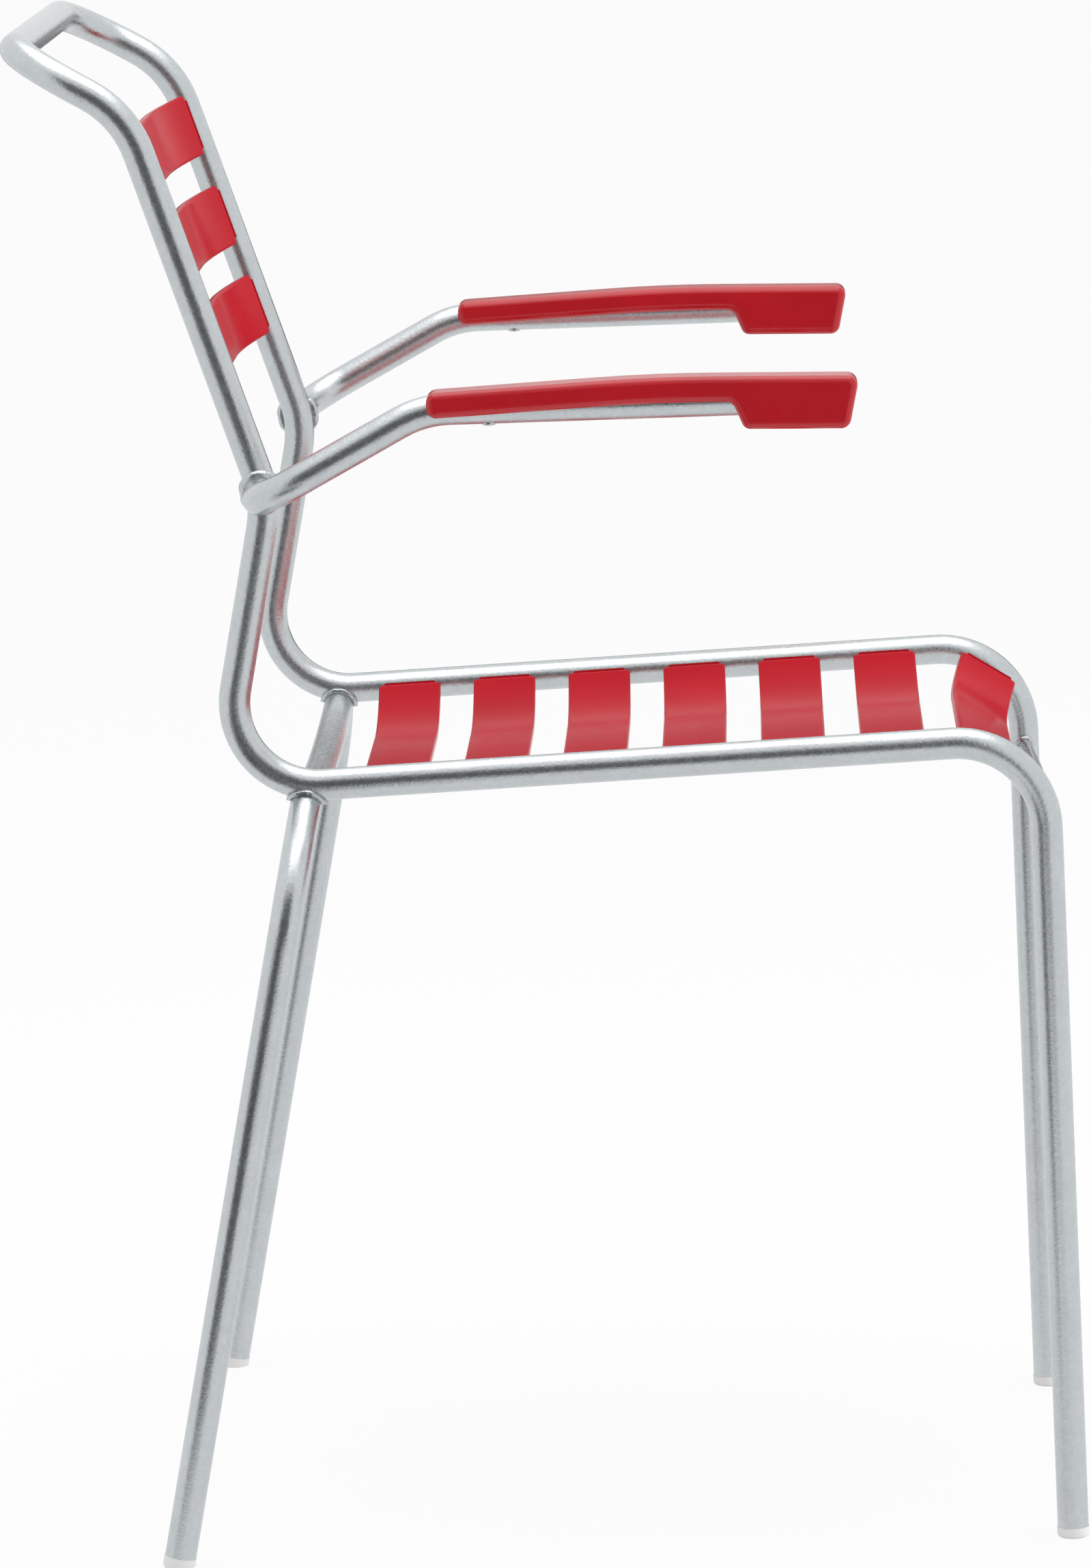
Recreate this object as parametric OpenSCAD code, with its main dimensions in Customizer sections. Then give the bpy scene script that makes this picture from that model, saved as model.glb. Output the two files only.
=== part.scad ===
// Stackable garden armchair: a bent steel tube frame that carries ten
// dished slats and two armrest pads, on four foot glides.
// Millimetres. +Z is up, the sitter faces -Y, and the sitter's right is -X.
// The origin lies on the floor in the middle of the chair's outline.

/* [Frame tube] */
// Outside diameter of the frame tube
tube_d = 18; // [14:0.5:24]
// Wall of the frame tube
tube_wall = 2; // [1:0.1:3]
// Width between the centre lines of the two side tubes
frame_w = 384; // [330:1:460]

/* [Side shape] */
// Height of the corner where the front leg turns into the seat rail
seat_front_h = 466.5; // [400:0.5:520]
// How far the front foot stands ahead of that corner
front_leg_rake = 17; // [0:0.5:50]
// Depth of the seat from the front corner to the rear corner
seat_depth = 470.5; // [440:0.5:540]
// How much lower the rear corner lies than the front corner
seat_fall = 28; // [5:0.5:50]
// Height from the rear corner to the waist corner at arm height
waist_h = 167; // [140:0.5:210]
// How far the waist corner stands ahead of the rear corner
waist_forward = 30; // [5:0.5:50]
// Height from the waist corner to the shoulder corner
back_h = 219.5; // [215:0.5:290]
// How far the shoulder corner leans back from the waist corner
back_rake = 77; // [40:0.5:110]
// Height from the shoulder corner to the handle bar
handle_h = 35; // [20:0.5:60]
// How far the handle bar stands behind the shoulder corner
handle_reach = 64.5; // [58:0.5:90]

/* [Bends] */
// Centre line radius of the bend at the front of the seat
front_bend_r = 51; // [40:0.5:60]
// Centre line radius of the bend at the rear of the seat
rear_bend_r = 47; // [35:0.5:60]
// Centre line radius of the bend at the waist
waist_bend_r = 64; // [50:0.5:80]
// Centre line radius of the bend at the shoulder
shoulder_bend_r = 61.5; // [40:0.5:70]
// Centre line radius of the bend into the handle bar
handle_bend_r = 44.5; // [30:0.5:50]
// How much the tube's radius draws in along its bends
bend_draw = 0.13; // [0.12:0.01:0.3]

/* [Rear legs and bars] */
// Distance of the rear leg's top ahead of the rear corner
rear_leg_at = 50; // [48:0.5:60]
// Depth of the rear leg's top centre below the rail's centre line
rear_leg_sink = 9; // [6:0.5:12]
// Width from the rail's centre line out to the rear leg's centre line
rear_leg_spread = 62.5; // [52:0.5:90]
// Fall of the rear leg from its top to its knee
rear_knee_fall = 35; // [25:0.5:50]
// Distance of the knee behind the rear leg's top
rear_knee_back = 5; // [0:0.5:15]
// How far the rear foot stands behind the knee
rear_leg_rake = 71; // [40:0.5:110]
// Centre line radius of the rear leg's knee bend
rear_knee_bend_r = 67; // [40:0.5:72]
// Distance of the rear crossbar ahead of the rear corner
crossbar_at = 50; // [48:0.5:60]
// Depth of the crossbar's ends below the rail's centre line
crossbar_sink = 9.5; // [6:0.5:12]
// How far the crossbar bows down in its middle
crossbar_bow = 6; // [2:0.5:15]
// Diameter of the front cross rod
rod_d = 8; // [6:0.5:12]
// Depth of the front cross rod below the front corner
rod_drop = 62; // [60:0.5:140]
// How far the front cross rod bows forward in its middle
rod_bow = 4.5; // [2:0.5:15]
// How far the rod's ends reach into the side tubes past their inner faces
rod_seat = 3; // [2:0.5:6]
// Clearance round the rod's ends in their holes
rod_gap = 0.1; // [0.05:0.05:0.3]
// Width of the weld bead round a tube joint
weld_w = 2.5; // [1.5:0.1:4]
// Width of the weld bead round the ends of the front cross rod
rod_weld_w = 1.5; // [1:0.1:3]
// Distance of the arm weld's thin ends outside the side tube's centre plane
arm_weld_at = 2; // [1:0.5:4]
// Distance of the crossbar welds' thin ends inside the side tubes' centre planes
bar_weld_at = 1; // [0.5:0.5:3]

/* [Arms] */
// Height of the arm's root above the waist corner
arm_root_up = 5.5; // [0:0.5:10]
// Width from the side tube's centre line out to the arm's centre line
arm_spread = 69; // [55:0.5:90]
// Centre line radius of the bend next to the arm's root
arm_root_bend_r = 33; // [25:0.5:40]
// How far the arm's elbow stands ahead of its root
elbow_forward = 94.5; // [80:0.5:130]
// How far the arm's elbow stands above its root
elbow_up = 53; // [30:0.5:80]
// Centre line radius of the elbow bend
elbow_bend_r = 60; // [40:0.5:80]
// Length of the arm tube ahead of its elbow
arm_front_len = 228; // [200:1:232]
// Rise of the arm tube from its elbow to its front end
arm_front_rise = 6; // [2:0.5:7]

/* [Armrest pads] */
// Width of the armrest pad
pad_w = 28; // [25:0.5:40]
// Distance of the pad's rear end ahead of the elbow corner
pad_start = 2.5; // [0:0.5:8]
// Length of the pad from its rear end to its front top corner
pad_len = 241.5; // [236:0.5:280]
// Height of the pad's side wall
pad_side_h = 14.5; // [13:0.5:18]
// Height of the pad's level top above the elbow corner
pad_top_up = 18.7; // [17:0.1:23]
// Distance of the pad's soft top bend ahead of the elbow corner
pad_bend_at = 130; // [110:1:150]
// Slope of the pad's rear run in degrees
pad_slope = 3.8; // [2:0.1:4.5]
// Radius of the pad's soft top bend
pad_bend_r = 1000; // [600:10:1200]
// Length of the deep block at the pad's front end, along its underside
pad_block_len = 58.5; // [40:0.5:70]
// Depth of the deep block's underside below the elbow corner
pad_block_drop = 11; // [8:0.5:18]
// Radius along the pad's top edges
pad_edge_r = 3; // [1:0.5:4]
// Clearance between the pad's channel and the arm tube
pad_gap = 0.2; // [0.1:0.05:0.5]
// Clearance ahead of the arm tube's end inside the pad's deep block
pad_end_gap = 1; // [0.5:0.1:2]
// Distance of the pad screw ahead of the elbow corner
screw_at = 37; // [25:0.5:60]
// Diameter of the screw's thread
screw_d = 4; // [3:0.5:5]
// Diameter of the screw's head
screw_head_d = 8; // [7:0.5:10]
// How far the screw's head stands out of its dimple
screw_head_out = 0.6; // [0.2:0.1:1.5]
// How far the screw reaches into the pad above the tube
screw_bite = 3; // [2:0.5:6]
// Clearance between the screw and the tube, in diameter
screw_play = 0.6; // [0.2:0.1:1]

/* [Slats] */
// Width of a slat
slat_w = 38; // [32:0.5:40]
// Depth of a slat's turned-down edges
slat_edge_h = 5; // [4:0.1:7]
// Thickness of a slat's web
slat_web = 3; // [2.5:0.1:3.5]
// Width of a slat's turned-down edges
slat_lip = 3; // [2:0.1:5]
// Radius along a slat's top edges
slat_edge_r = 1.8; // [0.5:0.1:1.9]
// Length of the slat's level middle
slat_flat = 170; // [120:1:220]
// Depth of the dish from the slat's ends to its middle
slat_dish = 18; // [8:0.5:30]
// Radius of the slat's corners seen from above
slat_corner_r = 5; // [2:0.5:8]
// Height of the slat's end above the tube's centre line
slat_end_up = 1; // [0:0.1:2]
// Clearance between a slat's end and the tube
slat_end_gap = 0.2; // [0.1:0.05:0.5]
// Width of the tongue at a slat's end
tongue_w = 22; // [14:0.5:24]
// Thickness of the tongue at a slat's end
tongue_h = 2.4; // [1.5:0.1:2.4]
// How far the tongue reaches into the tube past its inner face
tongue_len = 5; // [3.5:0.5:6]
// Clearance between a tongue and its slot
tongue_gap = 0.3; // [0.1:0.05:0.5]
// Length of the tongue inside the slat's own end
tongue_root = 2; // [1:0.5:4]
// Number of slats on the level part of the seat
seat_slats = 6; // [4:1:6]
// Distance of the first seat slat ahead of the rear corner
seat_slat_start = 94.5; // [94:0.5:98]
// Distance of the last level seat slat behind the front corner
seat_slat_rest = 84.3; // [78:0.1:100]
// How far round the front bend the front slat sits, in degrees
front_slat_turn = 39; // [35:0.5:45]
// Tilt of the front slat below level, in degrees
front_slat_tilt = 31; // [28:0.5:38]
// Height of the front slat's ends above the tube's centre line
front_slat_up = -1; // [-2:0.1:0]
// Number of slats on the back
back_slats = 3; // [2:1:3]
// Distance of the first back slat above the waist corner
back_slat_start = 80; // [70:0.5:84]
// Distance of the last back slat below the shoulder corner
back_slat_rest = 36.6; // [30:0.1:50]

/* [Foot glides] */
// Diameter of a glide's flange
glide_d = 18.6; // [17:0.1:26]
// Height of the tube's end above the floor
glide_h = 6; // [4:0.5:10]
// Radius of the glide's lower edge
glide_edge_r = 2.5; // [1:0.1:3]
// Length of the glide's stem inside the tube
glide_stem = 16; // [10:1:25]
// Clearance between the glide's stem and the tube's bore
glide_gap = 0.2; // [0.1:0.05:0.4]

/* [Hidden] */

steel = [0.74, 0.77, 0.79];
weld_grey = [0.68, 0.70, 0.72];
red = [0.72, 0.10, 0.16];
glide_white = [0.90, 0.91, 0.90];

ring_fn = 48;
bend_steps = 16;
// Length over which a bend and the straight next to it share their metal
bend_lap = 0.2;
// Draw-in of the section being drawn, set by the bends
$draw = 0;
tube_r = tube_d / 2;
bore_d = tube_d - 2 * tube_wall;
side_x = frame_w / 2;

// Corners of the side frame as [forward, up], first from the front corner
raw_foot = [front_leg_rake, 0];
raw_rear = [-seat_depth, seat_front_h - seat_fall];
raw_waist = raw_rear + [waist_forward, waist_h];
raw_shoulder = raw_waist + [-back_rake, back_h];
raw_handle = raw_shoulder + [-handle_reach, handle_h];

// Half way between the foremost and the rearmost point of the chair
middle = [(raw_foot.x + glide_d / 2 + raw_handle.x - tube_r) / 2, 0];
foot_c = raw_foot - middle;
front_c = [0, seat_front_h] - middle;
rear_c = raw_rear - middle;
waist_c = raw_waist - middle;
shoulder_c = raw_shoulder - middle;
handle_c = raw_handle - middle;

// Places a [forward, up] pair at a given X
function at(x, c) = [x, -c.x, c.y];
function unit(v) = v / norm(v);
// Point on the line from a to b at a given height
function at_height(a, b, h) = a + (b - a) * (h - a.z) / (b.z - a.z);
// Height of the seat rail's centre line at a forward position
function rail_up(f) = rear_c.y + (f - rear_c.x) * (front_c.y - rear_c.y) / (front_c.x - rear_c.x);

// Centre lines, each as corner points and bend radii, all on the +X side
side_path = [
    at_height(at(side_x, foot_c), at(side_x, front_c), glide_h),
    at(side_x, front_c), at(side_x, rear_c), at(side_x, waist_c),
    at(side_x, shoulder_c), at(side_x, handle_c), at(0, handle_c)
];
side_radii = [0, front_bend_r, rear_bend_r, waist_bend_r, shoulder_bend_r, handle_bend_r, 0];

leg_x = side_x + rear_leg_spread;
leg_top_f = rear_c.x + rear_leg_at;
leg_top_c = [leg_top_f, rail_up(leg_top_f) - rear_leg_sink];
leg_knee_c = leg_top_c - [rear_knee_back, rear_knee_fall];
leg_foot_c = [leg_knee_c.x - rear_leg_rake, 0];
leg_path = [
    at_height(at(leg_x, leg_foot_c), at(leg_x, leg_knee_c), glide_h),
    at(leg_x, leg_knee_c), at(side_x, leg_top_c)
];
leg_radii = [0, rear_knee_bend_r, 0];

// The arm's root lies on the centre line of the waist bend
waist_mid = bend_centre(at(side_x, rear_c), at(side_x, waist_c), at(side_x, shoulder_c), waist_bend_r);
root_up = waist_c.y + arm_root_up;
root_reach = sqrt(waist_bend_r * waist_bend_r - (root_up - waist_mid.z) * (root_up - waist_mid.z));
root_c = [-waist_mid.y + root_reach, root_up];
arm_x = side_x + arm_spread;
elbow_c = root_c + [elbow_forward, elbow_up];
arm_end_c = elbow_c + [arm_front_len, arm_front_rise];
arm_path = [at(side_x, root_c), at(arm_x, root_c), at(arm_x, elbow_c), at(arm_x, arm_end_c)];
arm_radii = [0, arm_root_bend_r, elbow_bend_r, 0];

// Crossbar and rod, as points in the chair's middle plane at their ends' height
crossbar_f = rear_c.x + crossbar_at;
crossbar_c = [crossbar_f, rail_up(crossbar_f) - crossbar_sink];
rod_p = at_height(at(0, foot_c), at(0, front_c), front_c.y - rod_drop);
rod_half = side_x - tube_r + rod_seat;

// Slat seats: a point on the tube's centre line and the normal towards the sitter
rail_dir = unit(front_c - rear_c);
rail_up_n = [-rail_dir.y, rail_dir.x];
back_dir = unit(shoulder_c - waist_c);
back_n = [back_dir.y, -back_dir.x];
front_mid = bend_centre(at(0, foot_c), at(0, front_c), at(0, rear_c), front_bend_r);
front_turn_angle = front_slat_turn - atan2(rail_dir.y, rail_dir.x);
front_seat_c = [-front_mid.y, front_mid.z]
    + front_bend_r * [sin(front_turn_angle), cos(front_turn_angle)];
front_n = [sin(front_slat_tilt), cos(front_slat_tilt)];
front_sink = slat_end_up - front_slat_up;

slat_half = side_x - tube_r - slat_end_gap;
slat_run = slat_half - slat_flat / 2;
slat_r = (slat_run * slat_run + slat_dish * slat_dish) / (2 * slat_dish);
slat_end_angle = asin(slat_run / slat_r);
// Sweep a little past the end so that the trimming prism cuts a clean end
slat_spare_turn = 3;
slat_sweep = slat_end_angle + slat_spare_turn;

// The level seat slats and the back slats share out the room between their ends
seat_slat_pitch = (norm(front_c - rear_c) - seat_slat_start - seat_slat_rest) / (seat_slats - 1);
back_slat_pitch = (norm(shoulder_c - waist_c) - back_slat_start - back_slat_rest) / (back_slats - 1);

// Every seat of the level, front and back slats
slat_seats = concat(
    [for (i = [0 : seat_slats - 1]) [rear_c + rail_dir * (seat_slat_start + i * seat_slat_pitch), rail_up_n]],
    [[front_seat_c - front_n * front_sink, front_n]],
    [for (i = [0 : back_slats - 1]) [waist_c + back_dir * (back_slat_start + i * back_slat_pitch), back_n]]
);

// Centre of the bend of radius r at corner b between a and c
function bend_centre(a, b, c, r) =
    let (d1 = unit(b - a), d2 = unit(c - b), turn = acos(d1 * d2))
    b - d1 * r * tan(turn / 2) + unit(d2 - d1 * (d1 * d2)) * r;

// Heading of straight i of path p, and turn, bend axis and tangent length at corner i
function heading(p, i) = unit(p[i + 1] - p[i]);
function turn_at(p, i) = acos(heading(p, i - 1) * heading(p, i));
function axis_at(p, i) = unit(cross(heading(p, i - 1), heading(p, i)));
function tangent_at(p, r, i) = i > 0 && i < len(p) - 1 ? r[i] * tan(turn_at(p, i) / 2) : 0;
// Roll about the heading from the plane of bend i to the plane of bend i + 1
function roll_at(p, i) =
    i < len(p) - 2
        ? atan2(axis_at(p, i + 1) * cross(heading(p, i), axis_at(p, i)), axis_at(p, i + 1) * axis_at(p, i))
        : 0;

function bend_fn(turn) = max(ring_fn, ceil(bend_steps * 360 / turn));

// Moves children into the frame with origin o and axes ex, ey, ez
module placed(o, ex, ey, ez)
    multmatrix([
        [ex.x, ey.x, ez.x, o.x],
        [ex.y, ey.y, ez.y, o.y],
        [ex.z, ey.z, ez.z, o.z],
        [0, 0, 0, 1]
    ]) children();

// Builds on the +X side, or mirrored on the -X side
module on_side(s) mirror([s < 0 ? 1 : 0, 0, 0]) children();

// Extrudes a [forward, up] outline across the width w, centred at x
module side_view(x, w)
    translate([x, 0, 0])
    rotate([90, 0, -90])
    linear_extrude(height = w, center = true)
    children();

module ring(d, bore) {
    difference() {
        circle(d = d - 2 * $draw, $fn = ring_fn);
        if (bore > 0) circle(d = bore - 2 * $draw, $fn = ring_fn);
    }
}

// Bend about Z that starts on the X axis and laps both neighbours
module bend(r, turn) {
    lap = bend_lap / r * 180 / PI;
    rotate([0, 0, -lap])
        rotate_extrude(angle = turn + 2 * lap, $fn = bend_fn(turn))
        translate([r, 0])
        let ($draw = bend_draw) children();
}

// Straight i of the path and all that follows it, heading along +Y
module sweep_from(p, r, i) {
    run = norm(p[i + 1] - p[i]) - tangent_at(p, r, i) - tangent_at(p, r, i + 1);
    translate([0, run, 0]) {
        rotate([90, 0, 0]) linear_extrude(height = run) children();
        if (i < len(p) - 2)
            translate([-r[i + 1], 0, 0]) {
                bend(r[i + 1], turn_at(p, i + 1)) children();
                rotate([0, 0, turn_at(p, i + 1)])
                    translate([r[i + 1], 0, 0])
                    rotate([0, roll_at(p, i + 1), 0])
                    sweep_from(p, r, i + 1) children();
            }
    }
}

// Sweeps a section along the corner points p with the bend radii r. In the
// section x points away from the centre of the bend and y along its axis.
module sweep(p, r) {
    placed(p[0], cross(heading(p, 0), axis_at(p, 1)), heading(p, 0), axis_at(p, 1))
        sweep_from(p, r, 0) children();
}

module tube_along(p, r, d, bore) sweep(p, r) ring(d, bore);

// Round bar across the chair between x = -half and half, bowed along v
module bowed_bar(mid, v, half, bow, d, bore) {
    r = (half * half + bow * bow) / (2 * bow);
    a = asin(half / r);
    placed(mid + v * (bow - r), v, [1, 0, 0], cross(v, [1, 0, 0]))
        rotate([0, 0, -a])
        rotate_extrude(angle = 2 * a, $fn = bend_fn(2 * a))
        translate([r, 0])
        ring(d, bore);
}

// Solid forms of the +X side tube round its joints, for what is fitted to it
module rail_solid(grow)
    tube_along([side_path[1], side_path[2], side_path[3]], [0, rear_bend_r, 0], tube_d + 2 * grow, 0);
module waist_solid(grow)
    tube_along([side_path[2], side_path[3], side_path[4]], [0, waist_bend_r, 0], tube_d + 2 * grow, 0);
module front_leg_solid(grow) {
    up = heading(side_path, 0);
    placed(side_path[0], [1, 0, 0], cross(up, [1, 0, 0]), up)
        cylinder(d = tube_d + 2 * grow, h = norm(side_path[1] - side_path[0]), $fn = ring_fn);
}

// Slat

// Channel section of a slat: x is the depth below the top face, y the width
module slat_section() {
    difference() {
        union() {
            translate([slat_edge_r, -slat_w / 2]) square([slat_edge_h - slat_edge_r, slat_w]);
            translate([0, -slat_w / 2 + slat_edge_r]) square([slat_edge_h, slat_w - 2 * slat_edge_r]);
            for (s = [-1, 1])
                translate([slat_edge_r, s * (slat_w / 2 - slat_edge_r)]) circle(r = slat_edge_r, $fn = 32);
        }
        translate([slat_web, -slat_w / 2 + slat_lip]) square([slat_edge_h, slat_w - 2 * slat_lip]);
    }
}

module rounded_rect(l, w, r) {
    square([l, w - 2 * r], center = true);
    square([l - 2 * r, w], center = true);
    for (i = [-1, 1], j = [-1, 1])
        translate([i * (l / 2 - r), j * (w / 2 - r)]) circle(r = r, $fn = 32);
}

// Tongue, or the slot for it with the clearance g, at the slat's +X end
module tongue(g) {
    translate([slat_half, 0, slat_end_up])
        rotate([0, -slat_end_angle, 0])
        translate([-tongue_root - g, -tongue_w / 2 - g, -slat_web - g])
        cube([tongue_root + tongue_len + 2 * g, tongue_w + 2 * g, tongue_h + 2 * g]);
}

// Slat with its ends at the tube's centre line height, its width along Y
module slat() {
    color(red)
    union() {
        intersection() {
            translate([0, 0, slat_end_up - slat_dish])
                for (s = [-1, 1]) on_side(s) {
                    rotate([0, 90, 0]) linear_extrude(height = slat_flat / 2) slat_section();
                    translate([slat_flat / 2, 0, slat_r])
                        rotate([90, 0, 0])
                        rotate([0, 0, -90])
                        rotate_extrude(angle = slat_sweep, $fn = bend_fn(slat_sweep))
                        translate([slat_r, 0])
                        slat_section();
                }
            translate([0, 0, -2 * slat_dish])
                linear_extrude(height = 4 * slat_dish)
                rounded_rect(2 * slat_half, slat_w, slat_corner_r);
        }
        for (s = [-1, 1]) on_side(s) tongue(0);
    }
}

// Moves children to slat seat i
module at_seat(i) {
    n = at(0, slat_seats[i][1]);
    placed(at(0, slat_seats[i][0]), [1, 0, 0], cross(n, [1, 0, 0]), n) children();
}

module slat_at(i) {
    if (i < len(slat_seats)) at_seat(i) slat();
}

// Frame

module side_tube(s) {
    color(steel) on_side(s)
    difference() {
        tube_along(side_path, side_radii, tube_d, bore_d);
        for (i = [0 : len(slat_seats) - 1]) at_seat(i) tongue(tongue_gap);
        rod_bar(rod_gap);
    }
}

module rear_crossbar() {
    color(steel)
    difference() {
        bowed_bar(at(0, crossbar_c), [0, 0, -1], side_x, crossbar_bow, tube_d, bore_d);
        for (s = [-1, 1]) on_side(s) rail_solid(0);
    }
}

module rear_leg(s) {
    color(steel) on_side(s)
    difference() {
        tube_along(leg_path, leg_radii, tube_d, bore_d);
        rail_solid(0);
    }
}

module arm_tube(s) {
    color(steel) on_side(s)
    difference() {
        tube_along(arm_path, arm_radii, tube_d, bore_d);
        waist_solid(0);
        screw_hole();
    }
}

module rod_bar(grow) bowed_bar(rod_p, [0, -1, 0], rod_half, rod_bow, rod_d + 2 * grow, 0);

module front_cross_rod() color(steel) rod_bar(0);

// Room past the side tube's centre plane, outwards or inwards, from start on
module beyond_side(sign, start) {
    reach = 4 * tube_d;
    translate([side_x + (sign > 0 ? start : -reach - start), -reach, -reach]) cube([reach, 2 * reach, 2 * reach]);
}

module arm_welds() {
    color(weld_grey)
    for (s = [-1, 1]) on_side(s)
    difference() {
        intersection() {
            tube_along([arm_path[0], arm_path[1], arm_path[2]], [0, arm_root_bend_r, 0], tube_d + 2 * weld_w, 0);
            waist_solid(weld_w);
            translate([0, -root_c.x, root_c.y]) beyond_side(1, arm_weld_at);
        }
        tube_along([arm_path[0], arm_path[1], arm_path[2]], [0, arm_root_bend_r, 0], tube_d, 0);
        waist_solid(0);
    }
}

module rear_leg_welds() {
    color(weld_grey)
    for (s = [-1, 1]) on_side(s)
    difference() {
        intersection() {
            tube_along(leg_path, leg_radii, tube_d + 2 * weld_w, 0);
            rail_solid(weld_w);
            translate([0, -leg_top_c.x, leg_top_c.y]) beyond_side(1, 0);
        }
        tube_along(leg_path, leg_radii, tube_d, 0);
        rail_solid(0);
    }
}

module crossbar_welds() {
    color(weld_grey)
    for (s = [-1, 1]) on_side(s)
    difference() {
        intersection() {
            bowed_bar(at(0, crossbar_c), [0, 0, -1], side_x, crossbar_bow, tube_d + 2 * weld_w, 0);
            rail_solid(weld_w);
            translate([0, -crossbar_c.x, crossbar_c.y]) beyond_side(-1, bar_weld_at);
        }
        bowed_bar(at(0, crossbar_c), [0, 0, -1], side_x, crossbar_bow, tube_d, 0);
        rail_solid(0);
    }
}

module rod_welds() {
    color(weld_grey)
    for (s = [-1, 1]) on_side(s)
    difference() {
        intersection() {
            rod_bar(rod_weld_w);
            front_leg_solid(rod_weld_w);
            translate([0, rod_p.y, rod_p.z]) beyond_side(-1, 0);
        }
        rod_bar(0);
        front_leg_solid(0);
    }
}

// Armrest pads

// Points of the outline with corners [x, y, radius]
function rounded(c) = [
    for (i = [0 : len(c) - 1])
        let (
            n = len(c),
            p = [c[i].x, c[i].y],
            a = [c[(i + n - 1) % n].x, c[(i + n - 1) % n].y],
            b = [c[(i + 1) % n].x, c[(i + 1) % n].y],
            d1 = unit(p - a),
            d2 = unit(b - p),
            turn = acos(d1 * d2),
            r = c[i].z,
            left = cross(d1, d2) > 0 ? 1 : -1,
            start = p - d1 * r * tan(turn / 2),
            mid = start + left * r * [-d1.y, d1.x]
        )
        for (k = [0 : 6])
            let (t = left * turn * k / 6, v = start - mid)
            mid + [v.x * cos(t) - v.y * sin(t), v.x * sin(t) + v.y * cos(t)]
];

pad_rear = elbow_c.x + pad_start;
pad_front = pad_rear + pad_len;
pad_top = elbow_c.y + pad_top_up;
pad_bend_f = elbow_c.x + pad_bend_at;
pad_fall = tan(pad_slope);
pad_low = elbow_c.y - pad_block_drop;
pad_side_low = pad_top - pad_side_h;
// The side outline's top runs just above the swept top face
outline_over = 0.05;
pad_end_r = 4;
block_top_r = 5.5;
block_foot_r = 5;
block_lean = 0.44;
front_lean = 0.19;
block_front = pad_front - (pad_top - pad_low) * front_lean;
block_rear = block_front - pad_block_len;
pad_outline = [
    [pad_rear, pad_top + outline_over - (pad_bend_f - pad_rear) * pad_fall, pad_end_r],
    [pad_rear, pad_side_low - (pad_bend_f - pad_rear) * pad_fall, pad_end_r],
    [pad_bend_f, pad_side_low, pad_bend_r],
    [block_rear - (pad_side_low - pad_low) * block_lean, pad_side_low, block_top_r],
    [block_rear, pad_low, pad_edge_r],
    [block_front, pad_low, block_foot_r],
    [pad_front, pad_top + outline_over, pad_edge_r],
    [pad_bend_f, pad_top + outline_over, pad_bend_r]
];

// Pad section with its top edge at x = 0, going down to x = -h
module pad_section(h) {
    w = pad_w - 2 * $draw;
    translate([-h, -w / 2]) square([h - pad_edge_r, w]);
    translate([-h, -pad_w / 2 + pad_edge_r]) square([h - $draw, pad_w - 2 * pad_edge_r]);
    for (s = [-1, 1])
        translate([-pad_edge_r, s * (pad_w / 2 - pad_edge_r)]) circle(r = pad_edge_r - $draw, $fn = 32);
}

// Rear run, soft bend and level run of the pad's full section
module pad_sweep() {
    top_c = [pad_bend_f, pad_top];
    tail_c = top_c - pad_len * [cos(pad_slope), sin(pad_slope)];
    sweep([at(arm_x, tail_c), at(arm_x, top_c), at(arm_x, top_c + [pad_len, 0])], [0, pad_bend_r, 0])
        pad_section(3 * tube_d);
}

// Room for the arm tube, open below where the pad's walls end beside it
module pad_channel() {
    ahead = unit(arm_path[3] - arm_path[2]) * pad_end_gap;
    tube_along([arm_path[1], arm_path[2], arm_path[3] + ahead], [0, elbow_bend_r, 0], tube_d + 2 * pad_gap, 0);
}

module armrest_pad(s) {
    color(red) on_side(s)
    difference() {
        intersection() {
            pad_sweep();
            side_view(arm_x, 2 * pad_w) polygon(rounded(pad_outline));
        }
        pad_channel();
        at_screw() cylinder(d = screw_d, h = screw_len, $fn = 32);
    }
}

// The screw comes up from below, square to the arm tube
screw_dimple = 1.2;
screw_len = tube_d - screw_dimple + screw_bite;
module at_screw() {
    dir = unit(arm_path[3] - arm_path[2]);
    up = [0, dir.z, -dir.y];
    placed(arm_path[2] + dir * screw_at - up * (tube_r - screw_dimple), [1, 0, 0], cross(up, [1, 0, 0]), up) children();
}

// Dimple and clearance hole through both walls of the arm tube
module screw_hole() {
    at_screw() {
        cylinder(d = screw_d + screw_play, h = tube_d, $fn = 32);
        translate([0, 0, -2 * screw_dimple]) cylinder(d = screw_head_d + screw_play, h = 2 * screw_dimple, $fn = 32);
    }
}

module armrest_screws() {
    color(steel)
    for (s = [-1, 1]) on_side(s) at_screw() {
        cylinder(d = screw_d, h = screw_len, $fn = 32);
        translate([0, 0, -screw_dimple - screw_head_out])
            cylinder(d = screw_head_d, h = screw_dimple + screw_head_out, $fn = 32);
    }
}

// Foot glides

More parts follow.
